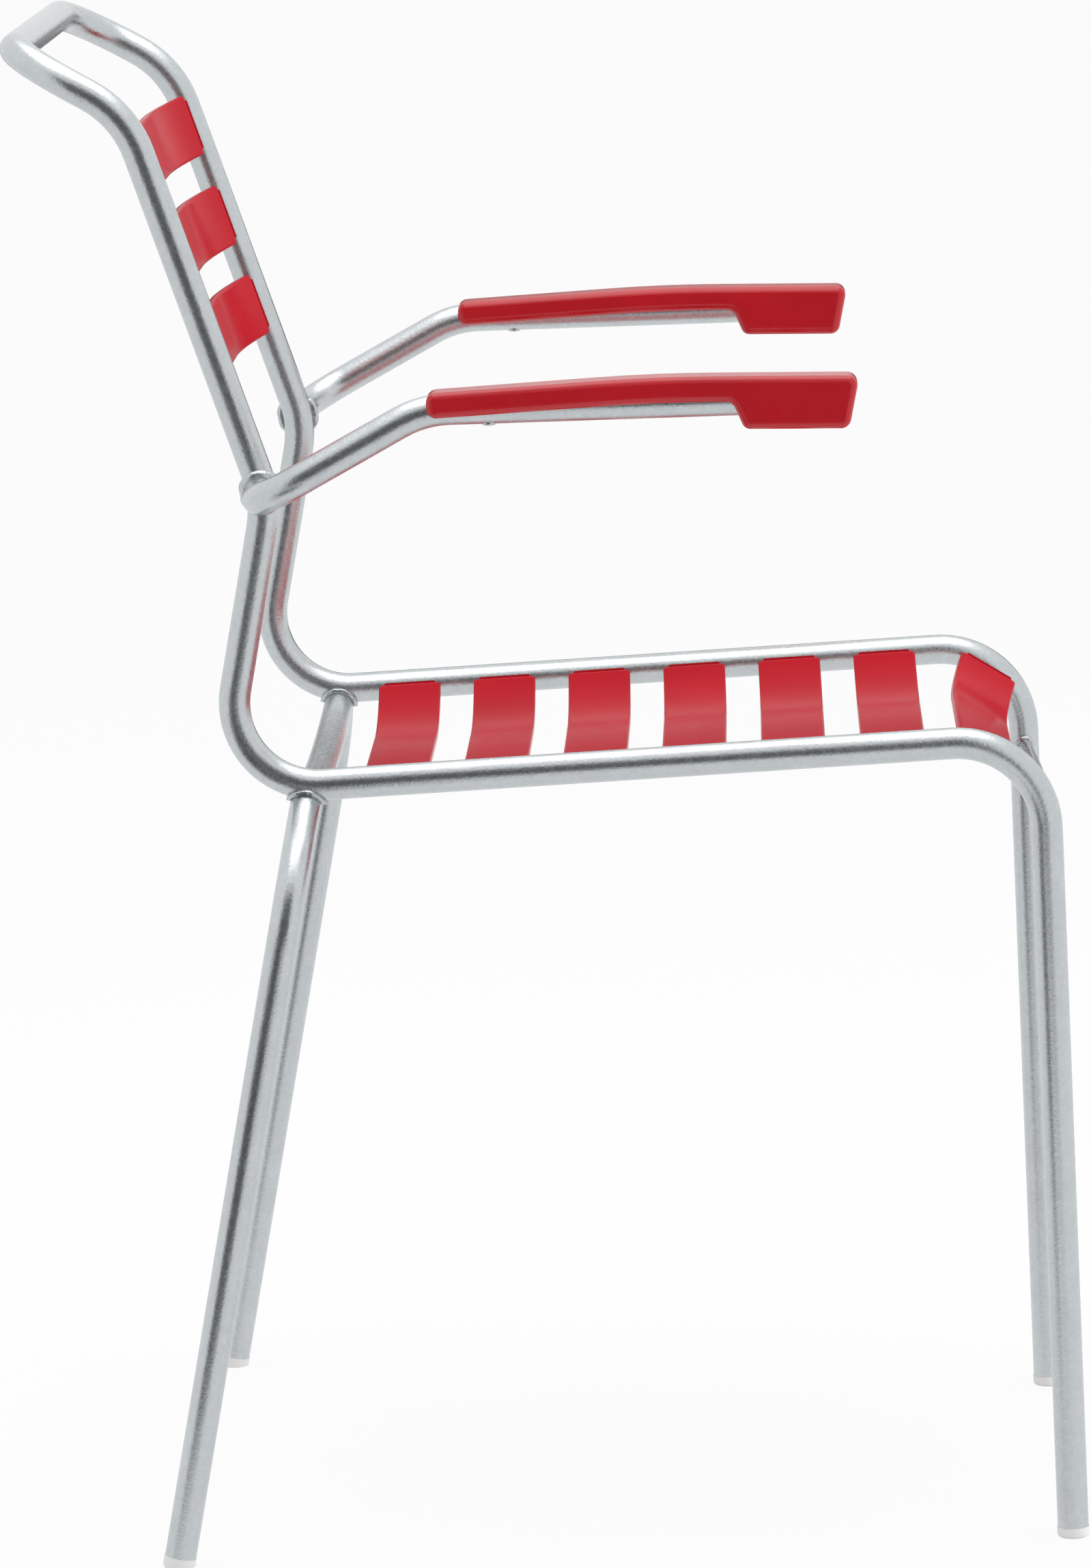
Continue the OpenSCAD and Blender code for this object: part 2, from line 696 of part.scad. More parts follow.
// Glide for a leg that runs from its foot point up to its knee
module glide(foot, knee) {
    axis = unit(knee - foot);
    tube_end = at_height(foot, knee, glide_h);
    lean = tan(acos(axis.z));
    flange = glide_h / axis.z + glide_d / 2 * lean;
    stem_root = glide_h / 2;
    side = unit(cross(axis, [1, 0, 0]));
    color(glide_white)
    intersection() {
        placed(tube_end, cross(side, axis), side, axis) {
            translate([0, 0, -stem_root])
                cylinder(d = bore_d - 2 * glide_gap, h = glide_stem + stem_root, $fn = ring_fn);
            translate([0, 0, -flange])
            rotate_extrude($fn = ring_fn) {
                translate([0, glide_edge_r]) square([glide_d / 2, flange - glide_edge_r]);
                square([glide_d / 2 - glide_edge_r, flange]);
                translate([glide_d / 2 - glide_edge_r, glide_edge_r])
                    intersection() {
                        circle(r = glide_edge_r, $fn = 32);
                        translate([0, -glide_edge_r]) square(2 * glide_edge_r);
                    }
            }
        }
        translate([foot.x - tube_d, foot.y - 2 * tube_d, 0]) cube([2 * tube_d, 4 * tube_d, glide_h + 2 * glide_stem]);
    }
}

module front_glide(s) on_side(s) glide(at(side_x, foot_c), at(side_x, front_c));
module rear_glide(s) on_side(s) glide(at(leg_x, leg_foot_c), at(leg_x, leg_knee_c));

side_tube(-1);  // side_tube_right
side_tube(1);  // side_tube_left
rear_crossbar();
rear_leg(-1);  // rear_leg_right
rear_leg(1);  // rear_leg_left
arm_tube(-1);  // arm_tube_right
arm_tube(1);  // arm_tube_left
front_cross_rod();
arm_welds();
rear_leg_welds();
crossbar_welds();
rod_welds();
slat_at(0);  // seat_slat_1
slat_at(1);  // seat_slat_2
slat_at(2);  // seat_slat_3
slat_at(3);  // seat_slat_4
slat_at(4);  // seat_slat_5
slat_at(5);  // seat_slat_6
slat_at(6);  // seat_slat_front
slat_at(7);  // back_slat_lower
slat_at(8);  // back_slat_middle
slat_at(9);  // back_slat_upper
armrest_pad(-1);  // armrest_pad_right
armrest_pad(1);  // armrest_pad_left
armrest_screws();
front_glide(-1);  // glide_front_right
front_glide(1);  // glide_front_left
rear_glide(-1);  // glide_rear_right
rear_glide(1);  // glide_rear_left
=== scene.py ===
"""Looks of the metal garden chair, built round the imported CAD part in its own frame.

Every visible piece is drawn here and takes the place of the CAD node of the same name. Lengths are
in metres. +Z is up, the sitter faces -Y and the sitter's right is -X. Points of the side view are
written as [forward, up], where forward is -Y.
"""
import math

import bpy
from bpy.props import FloatProperty, FloatVectorProperty, IntProperty, PointerProperty
from mathutils import Matrix, Vector


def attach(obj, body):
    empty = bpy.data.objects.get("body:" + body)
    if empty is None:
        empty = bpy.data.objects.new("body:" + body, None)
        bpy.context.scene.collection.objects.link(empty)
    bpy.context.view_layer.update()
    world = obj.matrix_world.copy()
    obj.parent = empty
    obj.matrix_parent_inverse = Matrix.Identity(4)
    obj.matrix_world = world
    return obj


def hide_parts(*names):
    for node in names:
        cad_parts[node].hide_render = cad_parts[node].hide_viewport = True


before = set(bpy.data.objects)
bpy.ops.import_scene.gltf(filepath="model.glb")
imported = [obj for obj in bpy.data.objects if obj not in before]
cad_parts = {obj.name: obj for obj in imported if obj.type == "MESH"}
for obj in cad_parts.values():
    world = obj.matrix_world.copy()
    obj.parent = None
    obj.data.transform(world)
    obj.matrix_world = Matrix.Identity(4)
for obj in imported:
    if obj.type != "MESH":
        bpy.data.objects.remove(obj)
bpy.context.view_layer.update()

bl_info = {
    "name": "Garden chair",
    "version": (1, 0, 0),
    "blender": (4, 5, 0),
    "location": "3D View > Sidebar > Chair",
    "description": "Draws a tubular garden chair with dished slats and armrest pads",
    "category": "Add Mesh",
}

# The slats from the rear of the seat to its front, and then up the back
LEVEL_SLATS = 6
BACK_SLATS = 3
SLATS = (
    "seat_slat_1", "seat_slat_2", "seat_slat_3", "seat_slat_4", "seat_slat_5", "seat_slat_6",
    "seat_slat_front", "back_slat_lower", "back_slat_middle", "back_slat_upper",
)

# How finely curves are drawn: the turn of one step in radians, and counts of points or steps
BEND_TURN = 0.09
BEND_STEPS_LEAST = 4
PAD_BEND_TURN = 0.3
BOW_STEPS = 24
DISH_STEPS = 16
SLAT_CORNER_STEPS = 6
SLAT_ROUND_STEPS = 5
PAD_ROUND_STEPS = 7
GLIDE_ROUND_STEPS = 5
SCREW_ROUND_STEPS = 3
ROD_POINTS = 28
GLIDE_POINTS = 40
SCREW_POINTS = 32
CARD_POINTS = 72

# Angles in degrees up to which neighbouring faces are shaded smooth
SMOOTH = 35
SLAT_SMOOTH = 40
WELD_SMOOTH = 60

# Room for rounding: for points that become one, for points on a cut, and for points that are
# tested for their place or joined to their mirror image
JOINED = 1e-6
ON_CUT = 1e-7
NEAR = 1e-5

# Least share of a face's normal that counts as up or down on a slat, and as sideways on a pad
UPWARD = 0.7
SIDEWAYS = 0.9

# How far a coped tube's end keeps clear of the centre line of the tube it is welded to
COPE_GAP = 0.002

# How far a pad's channel runs on past the arm tube's end
CHANNEL_PAST = 0.001

# A pad's outline in the side view: each corner and its radius, which is long where two straights
# meet at a slight bend
PAD_OUTLINE = (
    ((0.12, 0.6827), 0), ((0.17746, 0.6827), 0.0056), ((0.17182, 0.6530), 0.0058),
    ((0.11332, 0.6530), 0.0052), ((0.10663, 0.6682), 0.0055), ((0.06346, 0.6682), 1.0),
    ((-0.06404, 0.65973), 0.0056), ((-0.06404, 0.67423), 0.0056), ((0.06346, 0.6827), 1.0),
    ((0.12, 0.6827), 0),
)

# A pad screw: how deep its seat lies in the arm tube, the head's height, the head's shoulder round
# the shank, the shank's length and the rounding of the head's edge
SCREW_SUNK = 0.0012
SCREW_HEAD = 0.0018
SCREW_SHOULDER = 0.0015
SCREW_SHANK = 0.018
SCREW_ROUND = 0.0007

# The recess in a screw's head: the rim left round it and its depth. The head's outer face is all
# that lies further below the seat than the last length.
RECESS_RIM = 0.0014
RECESS_DEPTH = 0.001
SCREW_UNDERSIDE = 0.0017

# The weld beads are remeshed, smoothed and rippled. The lower its level, the thicker a bead grows.
BEAD_VOXEL = 0.0005
BEAD_SMOOTH = 0.5
BEAD_SMOOTH_TIMES = 3
RIPPLE_SIZE = 0.004
RIPPLE_HEIGHT = 0.0009
BEAD_LEVELS = (
    ("arm_welds", -1.2), ("rear_leg_welds", 0.35), ("crossbar_welds", 0.35), ("rod_welds", -0.3),
)

# Range of a noise in which most of its values lie
NOISE_RANGE = (0.3, 0.7)

# The photograph's camera: its place, its turns in radians, and its lens and sensor in millimetres
CAMERA_PLACE = (-4.7522, -0.1130, 1.1594)
CAMERA_YAW, CAMERA_PITCH, CAMERA_ROLL = 0.0251, 0.1561, -0.0103
CAMERA_LENS, CAMERA_SENSOR = 185.93, 36

# The stage: the floor's size, how much of it glows white where it is seen, and the world's light
FLOOR_SIZE = 60
FLOOR_GLOW = 0.88
WORLD_LIGHT, WORLD_SEEN = 0.75, 1.0


def length(name, value, text, low=0.0, high=2.0):
    """A length setting in metres."""
    return FloatProperty(
        name=name, description=text, default=value, min=low, max=high, unit="LENGTH")


def angle(name, value, text):
    """An angle setting, given in degrees."""
    return FloatProperty(
        name=name, description=text, default=math.radians(value), subtype="ANGLE")


def point(name, value, text):
    """A [forward, up] point setting in metres."""
    return FloatVectorProperty(
        name=name, description=text, default=value, size=2, unit="LENGTH")


def shade(name, value, text):
    """A colour setting."""
    return FloatVectorProperty(
        name=name, description=text, default=value, size=3, min=0.0, max=1.0, subtype="COLOR")


class ChairSettings(bpy.types.PropertyGroup):
    """Sizes, centre lines and colours of the chair."""

    tube_radius: length("Tube radius", 0.009, "Radius of every frame tube")
    tube_points: IntProperty(
        name="Tube points", description="Points round a tube", default=40, min=12, max=96)
    side_x: length("Side tube", 0.192, "Distance of the side tubes from the chair's middle")
    leg_x: length("Rear leg", 0.2545, "Distance of the rear legs from the chair's middle")
    arm_x: length("Arm", 0.261, "Distance of the arm tubes from the chair's middle")
    tube_end_h: length("Tube ends", 0.006, "Height of the legs' tube ends above the floor")
    foot: point("Front foot", (0.29935, 0.0), "Front leg's centre line on the floor")
    front: point(
        "Front corner", (0.28235, 0.4665), "Corner between the front leg and the seat rail")
    rear: point(
        "Rear corner", (-0.18815, 0.4385), "Corner between the seat rail and the upright")
    waist: point("Waist", (-0.15815, 0.6055), "Corner between the upright and the back")
    shoulder: point(
        "Shoulder", (-0.23515, 0.825), "Corner between the back and the handle's arms")
    handle: point("Handle", (-0.29965, 0.860), "Centre line of the handle bar")
    front_bend: length("Front bend", 0.051, "Bend radius at the front corner")
    rear_bend: length("Rear bend", 0.047, "Bend radius at the rear corner")
    waist_bend: length("Waist bend", 0.064, "Bend radius at the waist")
    shoulder_bend: length("Shoulder bend", 0.0615, "Bend radius at the shoulder")
    handle_bend: length("Handle bend", 0.0445, "Bend radius at the handle's ends")
    leg_top: point(
        "Rear leg's top", (-0.13815, 0.432476), "Where the rear leg meets the seat rail")
    leg_knee: point(
        "Rear leg's knee", (-0.14315, 0.397476), "Where the rear leg turns down")
    leg_foot: point("Rear foot", (-0.21415, 0.0), "Rear leg's centre line on the floor")
    knee_bend: length("Knee bend", 0.067, "Bend radius of the rear leg's knee")
    arm_root: point(
        "Arm root", (-0.161036, 0.611), "Where the arm leaves the waist of the side tube")
    elbow: point(
        "Elbow", (-0.0665364, 0.664), "Corner between the arm's rise and its level run")
    arm_end: point("Arm end", (0.161464, 0.670), "Front end of the arm tube")
    arm_root_bend: length("Arm root bend", 0.033, "Bend radius beside the arm's root")
    elbow_bend: length("Elbow bend", 0.060, "Bend radius of the elbow")
    crossbar: point(
        "Rear crossbar", (-0.13815, 0.431976), "Ends of the rear crossbar's centre line")
    crossbar_bow: length("Crossbar bow", 0.006, "How far the crossbar's middle hangs down")
    rod: point("Front rod", (0.284609, 0.4045), "Ends of the front rod's centre line")
    rod_radius: length("Rod radius", 0.004, "Radius of the front rod")
    rod_half: length("Rod half length", 0.186, "Half length of the front rod")
    rod_bow: length("Rod bow", 0.0045, "How far the rod's middle stands forward")
    slat_half: length("Slat half length", 0.183, "Half length of a slat")
    slat_width: length("Slat width", 0.038, "Width of a slat")
    slat_flat: length("Slat flat", 0.170, "Length of a slat's flat middle")
    slat_dish: length(
        "Slat dish", 0.019, "How far a level slat's middle lies below its ends")
    shallow_dish: length(
        "Shallow dish", 0.016,
        "How far the middle of the front slat and the back slats lies below their ends")
    slat_end_up: length(
        "Slat end", 0.003, "Height of the slat's ends above the tube's centre line")
    slat_depth: length("Slat depth", 0.004, "Depth of a slat's turned-down edge")
    slat_web: length("Slat web", 0.0025, "Thickness of a slat's top")
    slat_lip: length("Slat lip", 0.003, "Thickness of a slat's turned-down edge")
    slat_corner: length(
        "Slat corner", 0.004, "Radius of a slat's four corners seen from above")
    slat_round: length("Slat rounding", 0.0016, "Rounding of a slat's top edges")
    seat_start: length(
        "First seat slat", 0.0945, "Distance of the first seat slat from the rear corner")
    seat_rest: length(
        "Last seat slat", 0.0843, "Distance of the last level slat from the front corner")
    back_start: length(
        "First back slat", 0.080, "Distance of the first back slat from the waist")
    back_rest: length(
        "Last back slat", 0.0366, "Distance of the last back slat from the shoulder")
    front_slat_turn: angle(
        "Front slat place", 39, "Turn round the front bend at which the front slat sits")
    front_slat_tilt: angle("Front slat tilt", 31, "Forward tilt of the front slat")
    front_slat_sink: length(
        "Front slat sink", 0.002, "How far the front slat sits lower than the others", -0.05)
    pad_width: length("Pad width", 0.028, "Width of an armrest pad")
    pad_round: length("Pad rounding", 0.0044, "Rounding of a pad's long edges")
    pad_channel: length(
        "Pad channel", 0.0092, "Radius of the channel that holds the arm tube")
    glide_radius: length("Glide radius", 0.0093, "Radius of a foot glide's flange")
    glide_round: length("Glide rounding", 0.0025, "Rounding of a glide's lower edge")
    stem_radius: length("Glide stem", 0.0068, "Radius of a glide's stem inside the leg")
    stem_length: length("Stem length", 0.016, "Length of a glide's stem")
    screw_radius: length("Screw head", 0.004, "Radius of a pad screw's head")
    screw_at: length("Screw place", 0.037, "Distance of the pad screw ahead of the elbow")
    steel: shade("Steel", (0.565, 0.597, 0.612), "Galvanised steel")
    slat_red: shade("Slat red", (0.475, 0.0105, 0.021), "Glossy crimson of the slats")
    pad_red: shade("Pad red", (0.48, 0.004, 0.012), "Deeper crimson of the pads")
    glide_white: shade("Glide white", (0.80, 0.81, 0.80), "Off-white of the glides")
    floor_grey: shade("Floor", (0.90, 0.90, 0.90), "Pale floor")


# Drawing helpers


def deselect():
    """Leaves edit mode with nothing selected."""
    if bpy.context.object and bpy.context.object.mode != "OBJECT":
        bpy.ops.object.mode_set(mode="OBJECT")
    bpy.ops.object.select_all(action="DESELECT")


def activate(piece):
    """Selects one piece alone."""
    deselect()
    piece.select_set(True)
    bpy.context.view_layer.objects.active = piece


def edit(piece, kind="VERT"):
    """Opens a piece with nothing in it selected."""
    activate(piece)
    bpy.ops.object.mode_set(mode="EDIT")
    bpy.ops.mesh.select_mode(type=kind)
    bpy.ops.mesh.select_all(action="DESELECT")


def pick(piece, kind, test):
    """Opens a piece with the faces or edges selected whose points all pass the test."""
    edit(piece, kind)
    bpy.ops.object.mode_set(mode="OBJECT")
    points = [v.co for v in piece.data.vertices]
    parts = piece.data.polygons if kind == "FACE" else piece.data.edges
    found = 0
    for part in parts:
        part.select = all(test(points[i]) for i in part.vertices)
        found += part.select
    if not found:
        raise RuntimeError(piece.name + ": nothing to work on")
    bpy.ops.object.mode_set(mode="EDIT")


def facing(piece, test):
    """Opens a piece with the faces selected whose normals pass the test."""
    edit(piece, "FACE")
    bpy.ops.object.mode_set(mode="OBJECT")
    for face in piece.data.polygons:
        face.select = test(face.normal)
    bpy.ops.object.mode_set(mode="EDIT")


def named(name):
    """Names the new object and opens it all selected, with its place put into its points."""
    piece = bpy.context.object
    piece.name = piece.data.name = name
    bpy.ops.object.transform_apply(location=True, rotation=True, scale=True)
    bpy.ops.object.mode_set(mode="EDIT")
    bpy.ops.mesh.select_mode(type="VERT")
    bpy.ops.mesh.select_all(action="SELECT")
    return piece


def ring(name, at, heading, radius, points, filled=False):
    """A circle that faces along a heading."""
    deselect()
    bpy.ops.mesh.primitive_circle_add(
        vertices=points, radius=radius, fill_type="NGON" if filled else "NOTHING",
        location=at, rotation=heading.to_track_quat("Z", "Y").to_euler())
    return named(name)


def across(name, at, width):
    """A single edge along X."""
    deselect()
    bpy.ops.mesh.primitive_plane_add(size=width, location=at)
    piece = named(name)
    bpy.ops.mesh.select_all(action="DESELECT")
    bpy.ops.object.mode_set(mode="OBJECT")
    for v in piece.data.vertices:
        v.select = v.co.y > at.y
    bpy.ops.object.mode_set(mode="EDIT")
    bpy.ops.mesh.delete(type="VERT")
    bpy.ops.mesh.select_all(action="SELECT")
    bpy.ops.transform.translate(value=(0, width / 2, 0))
    return piece


def push(way):
    """Extrudes what is selected along a way."""
    bpy.ops.mesh.extrude_region_move(TRANSFORM_OT_translate={"value": way})


def turn_round(centre, axis, turn, steps):
    """Spins what is selected round an axis by the right-hand rule.

    The spin operator turns the other way round, hence the minus.
    """
    bpy.ops.mesh.spin(steps=steps, angle=-turn, center=centre, axis=axis)


def sweep(path, radii, step=BEND_TURN):
    """Draws what is selected along straights and round the bends between them."""
    here = path[0]
    for i in range(1, len(path)):
        ahead = (path[i] - path[i - 1]).normalized()
        if i == len(path) - 1:
            push(path[i] - here)
            return
        after = (path[i + 1] - path[i]).normalized()
        turn = ahead.angle(after)
        reach = radii[i] * math.tan(turn / 2)
        start = path[i] - ahead * reach
        push(start - here)
        axis = ahead.cross(after).normalized()
        steps = max(BEND_STEPS_LEAST, math.ceil(turn / step))
        turn_round(start + axis.cross(ahead) * radii[i], axis, turn, steps)
        here = path[i] + after * reach


def dome(radius, steps):
    """Raises the selected faces by a radius with a rounded rim of that radius round them."""
    for i in range(steps):
        a, b = (math.pi / 2 * k / steps for k in (i, i + 1))
        bpy.ops.mesh.inset(
            thickness=radius * (math.cos(a) - math.cos(b)),
            depth=radius * (math.sin(b) - math.sin(a)))


def slice_off(at, way, **kept):
    """Cuts all of the open piece with a plane and closes the cut, which faces along a way."""
    bpy.ops.mesh.select_all(action="SELECT")
    bpy.ops.mesh.bisect(plane_co=at, plane_no=way, use_fill=True, threshold=ON_CUT, **kept)


def volume(piece):
    """Volume that a closed piece encloses, which is negative where its faces look inward."""
    mesh = piece.data
    mesh.calc_loop_triangles()
    points = mesh.vertices
    corners = (triangle.vertices for triangle in mesh.loop_triangles)
    return sum(points[a].co.dot(points[b].co.cross(points[c].co)) for a, b, c in corners) / 6


def outward(piece, smooth=SMOOTH):
    """Turns every face outward and shades the piece smooth."""
    if bpy.context.object.mode != "EDIT":
        activate(piece)
        bpy.ops.object.mode_set(mode="EDIT")
    bpy.ops.mesh.select_all(action="SELECT")
    bpy.ops.mesh.normals_make_consistent(inside=False)
    bpy.ops.object.mode_set(mode="OBJECT")
    if volume(piece) < 0:
        bpy.ops.object.mode_set(mode="EDIT")
        bpy.ops.mesh.flip_normals()
    activate(piece)
    bpy.ops.object.shade_smooth_by_angle(angle=math.radians(smooth))
    return piece


def close(piece):
    """Joins the seams, fills the open ends, turns every face outward and shades it smooth."""
    bpy.ops.mesh.select_all(action="SELECT")
    bpy.ops.mesh.remove_doubles(threshold=JOINED)
    bpy.ops.mesh.fill_holes(sides=0)
    return outward(piece)


def tube(name, path, radii, radius, points):
    """A closed round tube along a path."""
    piece = ring(name, path[0], (path[1] - path[0]).normalized(), radius, points)
    sweep(path, radii)
    return close(piece)


def bowed(name, middle, way, half, bow, radius, points):
    """A round bar across the chair whose middle stands out by bow along a way."""
    big = (half * half + bow * bow) / (2 * bow)
    turn = math.asin(half / big)
    centre = middle + way * (bow - big)
    along = Vector((1, 0, 0))
    start = centre + (way * math.cos(turn) - along * math.sin(turn)) * big
    heading = along * math.cos(turn) + way * math.sin(turn)
    piece = ring(name, start, heading, radius, points)
    turn_round(centre, way.cross(along), 2 * turn, BOW_STEPS)
    return close(piece)


def apply(piece, kind, **settings):
    """Adds a modifier and applies it."""
    modifier = piece.modifiers.new(kind.title(), kind)
    for key, value in settings.items():
        setattr(modifier, key, value)
    activate(piece)
    bpy.ops.object.modifier_apply(modifier=modifier.name)


def cut(piece, cutter, solver="EXACT"):
    """Cuts a closed shape out of a piece and removes the cutter."""
    apply(piece, "BOOLEAN", operation="DIFFERENCE", solver=solver, object=cutter)
    bpy.data.objects.remove(cutter)


def copied(piece, name, place):
    """A copy with its own mesh, with its place put into its points."""
    twin = piece.copy()
    twin.data = piece.data.copy()
    twin.name = twin.data.name = name
    bpy.context.scene.collection.objects.link(twin)
    twin.matrix_world = place
    activate(twin)
    bpy.ops.object.transform_apply(location=True, rotation=True, scale=True)
    return twin


def mirrored(piece, name):
    """The same piece on the other side of the chair."""
    return outward(copied(piece, name, Matrix.Diagonal((-1, 1, 1, 1))))


def fit(piece, node, material):
    """Gives a piece its finish and puts it in the place of its CAD node."""
    piece.name = piece.data.name = node + "_shown"
    piece.data.materials.clear()
    piece.data.materials.append(material)
    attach(piece, "root")
    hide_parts(node)


def fit_pair(left, name, material):
    """Fits a left piece and its mirror image on the right."""
    fit(mirrored(left, name + "_right"), name + "_right", material)
    fit(left, name + "_left", material)


def spot(x, corner):
    """The point at x across the chair and at a [forward, up] point of its side view."""
    return Vector((x, -corner[0], corner[1]))


def at_height(a, b, h):
    """The point of the line through a and b at a height."""
    return a + (b - a) * ((h - a.z) / (b.z - a.z))


def side_core(s):
    """The left side tube, from its foot to the handle's middle, also to cope other tubes to it."""
    x = s.side_x
    foot, front = spot(x, s.foot), spot(x, s.front)
    path = [
        at_height(foot, front, s.tube_end_h), front, spot(x, s.rear), spot(x, s.waist),
        spot(x, s.shoulder), spot(x, s.handle), spot(0, s.handle),
    ]
    radii = [0, s.front_bend, s.rear_bend, s.waist_bend, s.shoulder_bend, s.handle_bend, 0]
    return tube("core", path, radii, s.tube_radius, s.tube_points)


def mirror_core(core):
    """The coping shape moved to the right side."""
    other = mirrored(core, "core_right")
    bpy.data.objects.remove(core)
    return other


def arm_path(s):
    """Corners of the left arm's centre line from its root to its front end."""
    return [
        spot(s.side_x, s.arm_root), spot(s.arm_x, s.arm_root), spot(s.arm_x, s.elbow),
        spot(s.arm_x, s.arm_end),
    ]


# Materials


def start_material(name):
    """A new node material with its nodes, links and main shader."""
    material = bpy.data.materials.new(name)
    material.use_nodes = True
    nodes, links = material.node_tree.nodes, material.node_tree.links
    return material, nodes, links, nodes["Principled BSDF"]


def noise(nodes, links, scale, detail=3.0, roughness=0.5):
    """A noise in the piece's own coordinates."""
    place = nodes.new("ShaderNodeTexCoord")
    texture = nodes.new("ShaderNodeTexNoise")
    texture.inputs["Scale"].default_value = scale
    texture.inputs["Detail"].default_value = detail
    texture.inputs["Roughness"].default_value = roughness
    links.new(place.outputs["Object"], texture.inputs["Vector"])
    return texture.outputs["Fac"]


def between(nodes, links, source, low, high):
    """Spreads a noise's middle range over low to high."""
    spread = nodes.new("ShaderNodeMapRange")
    spread.inputs["From Min"].default_value = NOISE_RANGE[0]
    spread.inputs["From Max"].default_value = NOISE_RANGE[1]
    spread.inputs["To Min"].default_value = low
    spread.inputs["To Max"].default_value = high
    links.new(source, spread.inputs["Value"])
    return spread.outputs["Result"]


def tint(nodes, links, source, dark, light, shader):
    """Colours a shader's surface between two shades."""
    mix = nodes.new("ShaderNodeMix")
    mix.data_type = "RGBA"
    mix.inputs["A"].default_value = (*dark, 1)
    mix.inputs["B"].default_value = (*light, 1)
    links.new(source, mix.inputs["Factor"])
    links.new(mix.outputs["Result"], shader.inputs["Base Color"])


def bump(nodes, links, source, strength, distance, shader):
    """Lets a height raise a shader's surface."""
    raised = nodes.new("ShaderNodeBump")
    raised.inputs["Strength"].default_value = strength
    raised.inputs["Distance"].default_value = distance
    links.new(source, raised.inputs["Height"])
    links.new(raised.outputs["Normal"], shader.inputs["Normal"])


def seen_directly(nodes, links):
    """One for what is seen directly, in a shiny surface or through glass, and otherwise zero."""
    path = nodes.new("ShaderNodeLightPath")
    total = path.outputs["Is Camera Ray"]
    for ray in ("Is Glossy Ray", "Is Transmission Ray"):
        both = nodes.new("ShaderNodeMath")
        both.operation = "ADD"
        both.use_clamp = True
        links.new(total, both.inputs[0])
        links.new(path.outputs[ray], both.inputs[1])
        total = both.outputs[0]
    return total


def scaled(colour, factor):
    """A colour made darker or lighter."""
    return tuple(min(1.0, c * factor) for c in colour)


def steel_material(name, colour, smoothest, roughest, grain):
    """Satin galvanised steel with faint mottling and a fine grain."""
    material, nodes, links, shader = start_material(name)
    shader.inputs["Metallic"].default_value = 1.0
    blotch = noise(nodes, links, scale=60, detail=4)
    speckle = noise(nodes, links, scale=330, detail=6, roughness=0.7)
    mottle = nodes.new("ShaderNodeMath")
    mottle.operation = "MULTIPLY"
    links.new(between(nodes, links, blotch, low=0.6, high=1), mottle.inputs[0])
    links.new(between(nodes, links, speckle, low=0.3, high=1), mottle.inputs[1])
    tint(
        nodes, links, mottle.outputs[0], dark=scaled(colour, 0.86), light=scaled(colour, 1.08),
        shader=shader)
    satin = noise(nodes, links, scale=240, detail=5, roughness=0.7)
    links.new(between(nodes, links, satin, smoothest, roughest), shader.inputs["Roughness"])
    crystals = noise(nodes, links, scale=520, detail=5, roughness=0.65)
    bump(nodes, links, crystals, strength=grain, distance=0.0004, shader=shader)
    return material


def plastic_material(name, colour, rough, grain, shine=0.5):
    """Moulded plastic with a slightly uneven sheen."""
    material, nodes, links, shader = start_material(name)
    shader.inputs["Specular IOR Level"].default_value = shine
    cloud = between(nodes, links, noise(nodes, links, scale=14, detail=2), low=0, high=1)
    tint(nodes, links, cloud, dark=scaled(colour, 0.94), light=scaled(colour, 1.05), shader=shader)
    sheen = noise(nodes, links, scale=120, detail=3)
    links.new(
        between(nodes, links, sheen, rough - 0.03, rough + 0.03), shader.inputs["Roughness"])
    skin = noise(nodes, links, scale=700, detail=2)
    bump(nodes, links, skin, strength=grain, distance=0.0001, shader=shader)
    return material


def finish_of(name, make, *values, **more):
    """A material made once and then shared."""
    return bpy.data.materials.get(name) or make(name, *values, **more)


def steel(s):
    """The frame's galvanised steel."""
    return finish_of(
        "satin_tube", steel_material, s.steel, smoothest=0.22, roughest=0.33, grain=0.4)


# Operators


class CHAIR_OT_side_tubes(bpy.types.Operator):
    """Draws the two side tubes: front leg, seat rail, upright, back and half of the handle"""

    bl_idname = "chair.side_tubes"
    bl_label = "Side tubes"

    def execute(self, context):
        s = context.scene.garden_chair
        fit_pair(side_core(s), "side_tube", steel(s))
        return {"FINISHED"}


class CHAIR_OT_rear_legs(bpy.types.Operator):
    """Draws the two rear legs, coped to the seat rails"""

    bl_idname = "chair.rear_legs"
    bl_label = "Rear legs"

    def execute(self, context):
        s = context.scene.garden_chair
        foot, knee = spot(s.leg_x, s.leg_foot), spot(s.leg_x, s.leg_knee)
        top = spot(s.side_x, s.leg_top)
        end = top + (knee - top).normalized() * COPE_GAP
        path = [at_height(foot, knee, s.tube_end_h), knee, end]
        left = tube("rear_leg", path, [0, s.knee_bend, 0], s.tube_radius, s.tube_points)
        cut(left, side_core(s))
        fit_pair(outward(left), "rear_leg", steel(s))
        return {"FINISHED"}


class CHAIR_OT_arm_tubes(bpy.types.Operator):
    """Draws the two arm tubes, coped to the side tubes' waists"""

    bl_idname = "chair.arm_tubes"
    bl_label = "Arm tubes"

    def execute(self, context):
        s = context.scene.garden_chair
        path = arm_path(s)
        path[0] = path[0] + (path[1] - path[0]).normalized() * COPE_GAP
        radii = [0, s.arm_root_bend, s.elbow_bend, 0]
        left = tube("arm_tube", path, radii, s.tube_radius, s.tube_points)
        cut(left, side_core(s))
        fit_pair(outward(left), "arm_tube", steel(s))
        return {"FINISHED"}


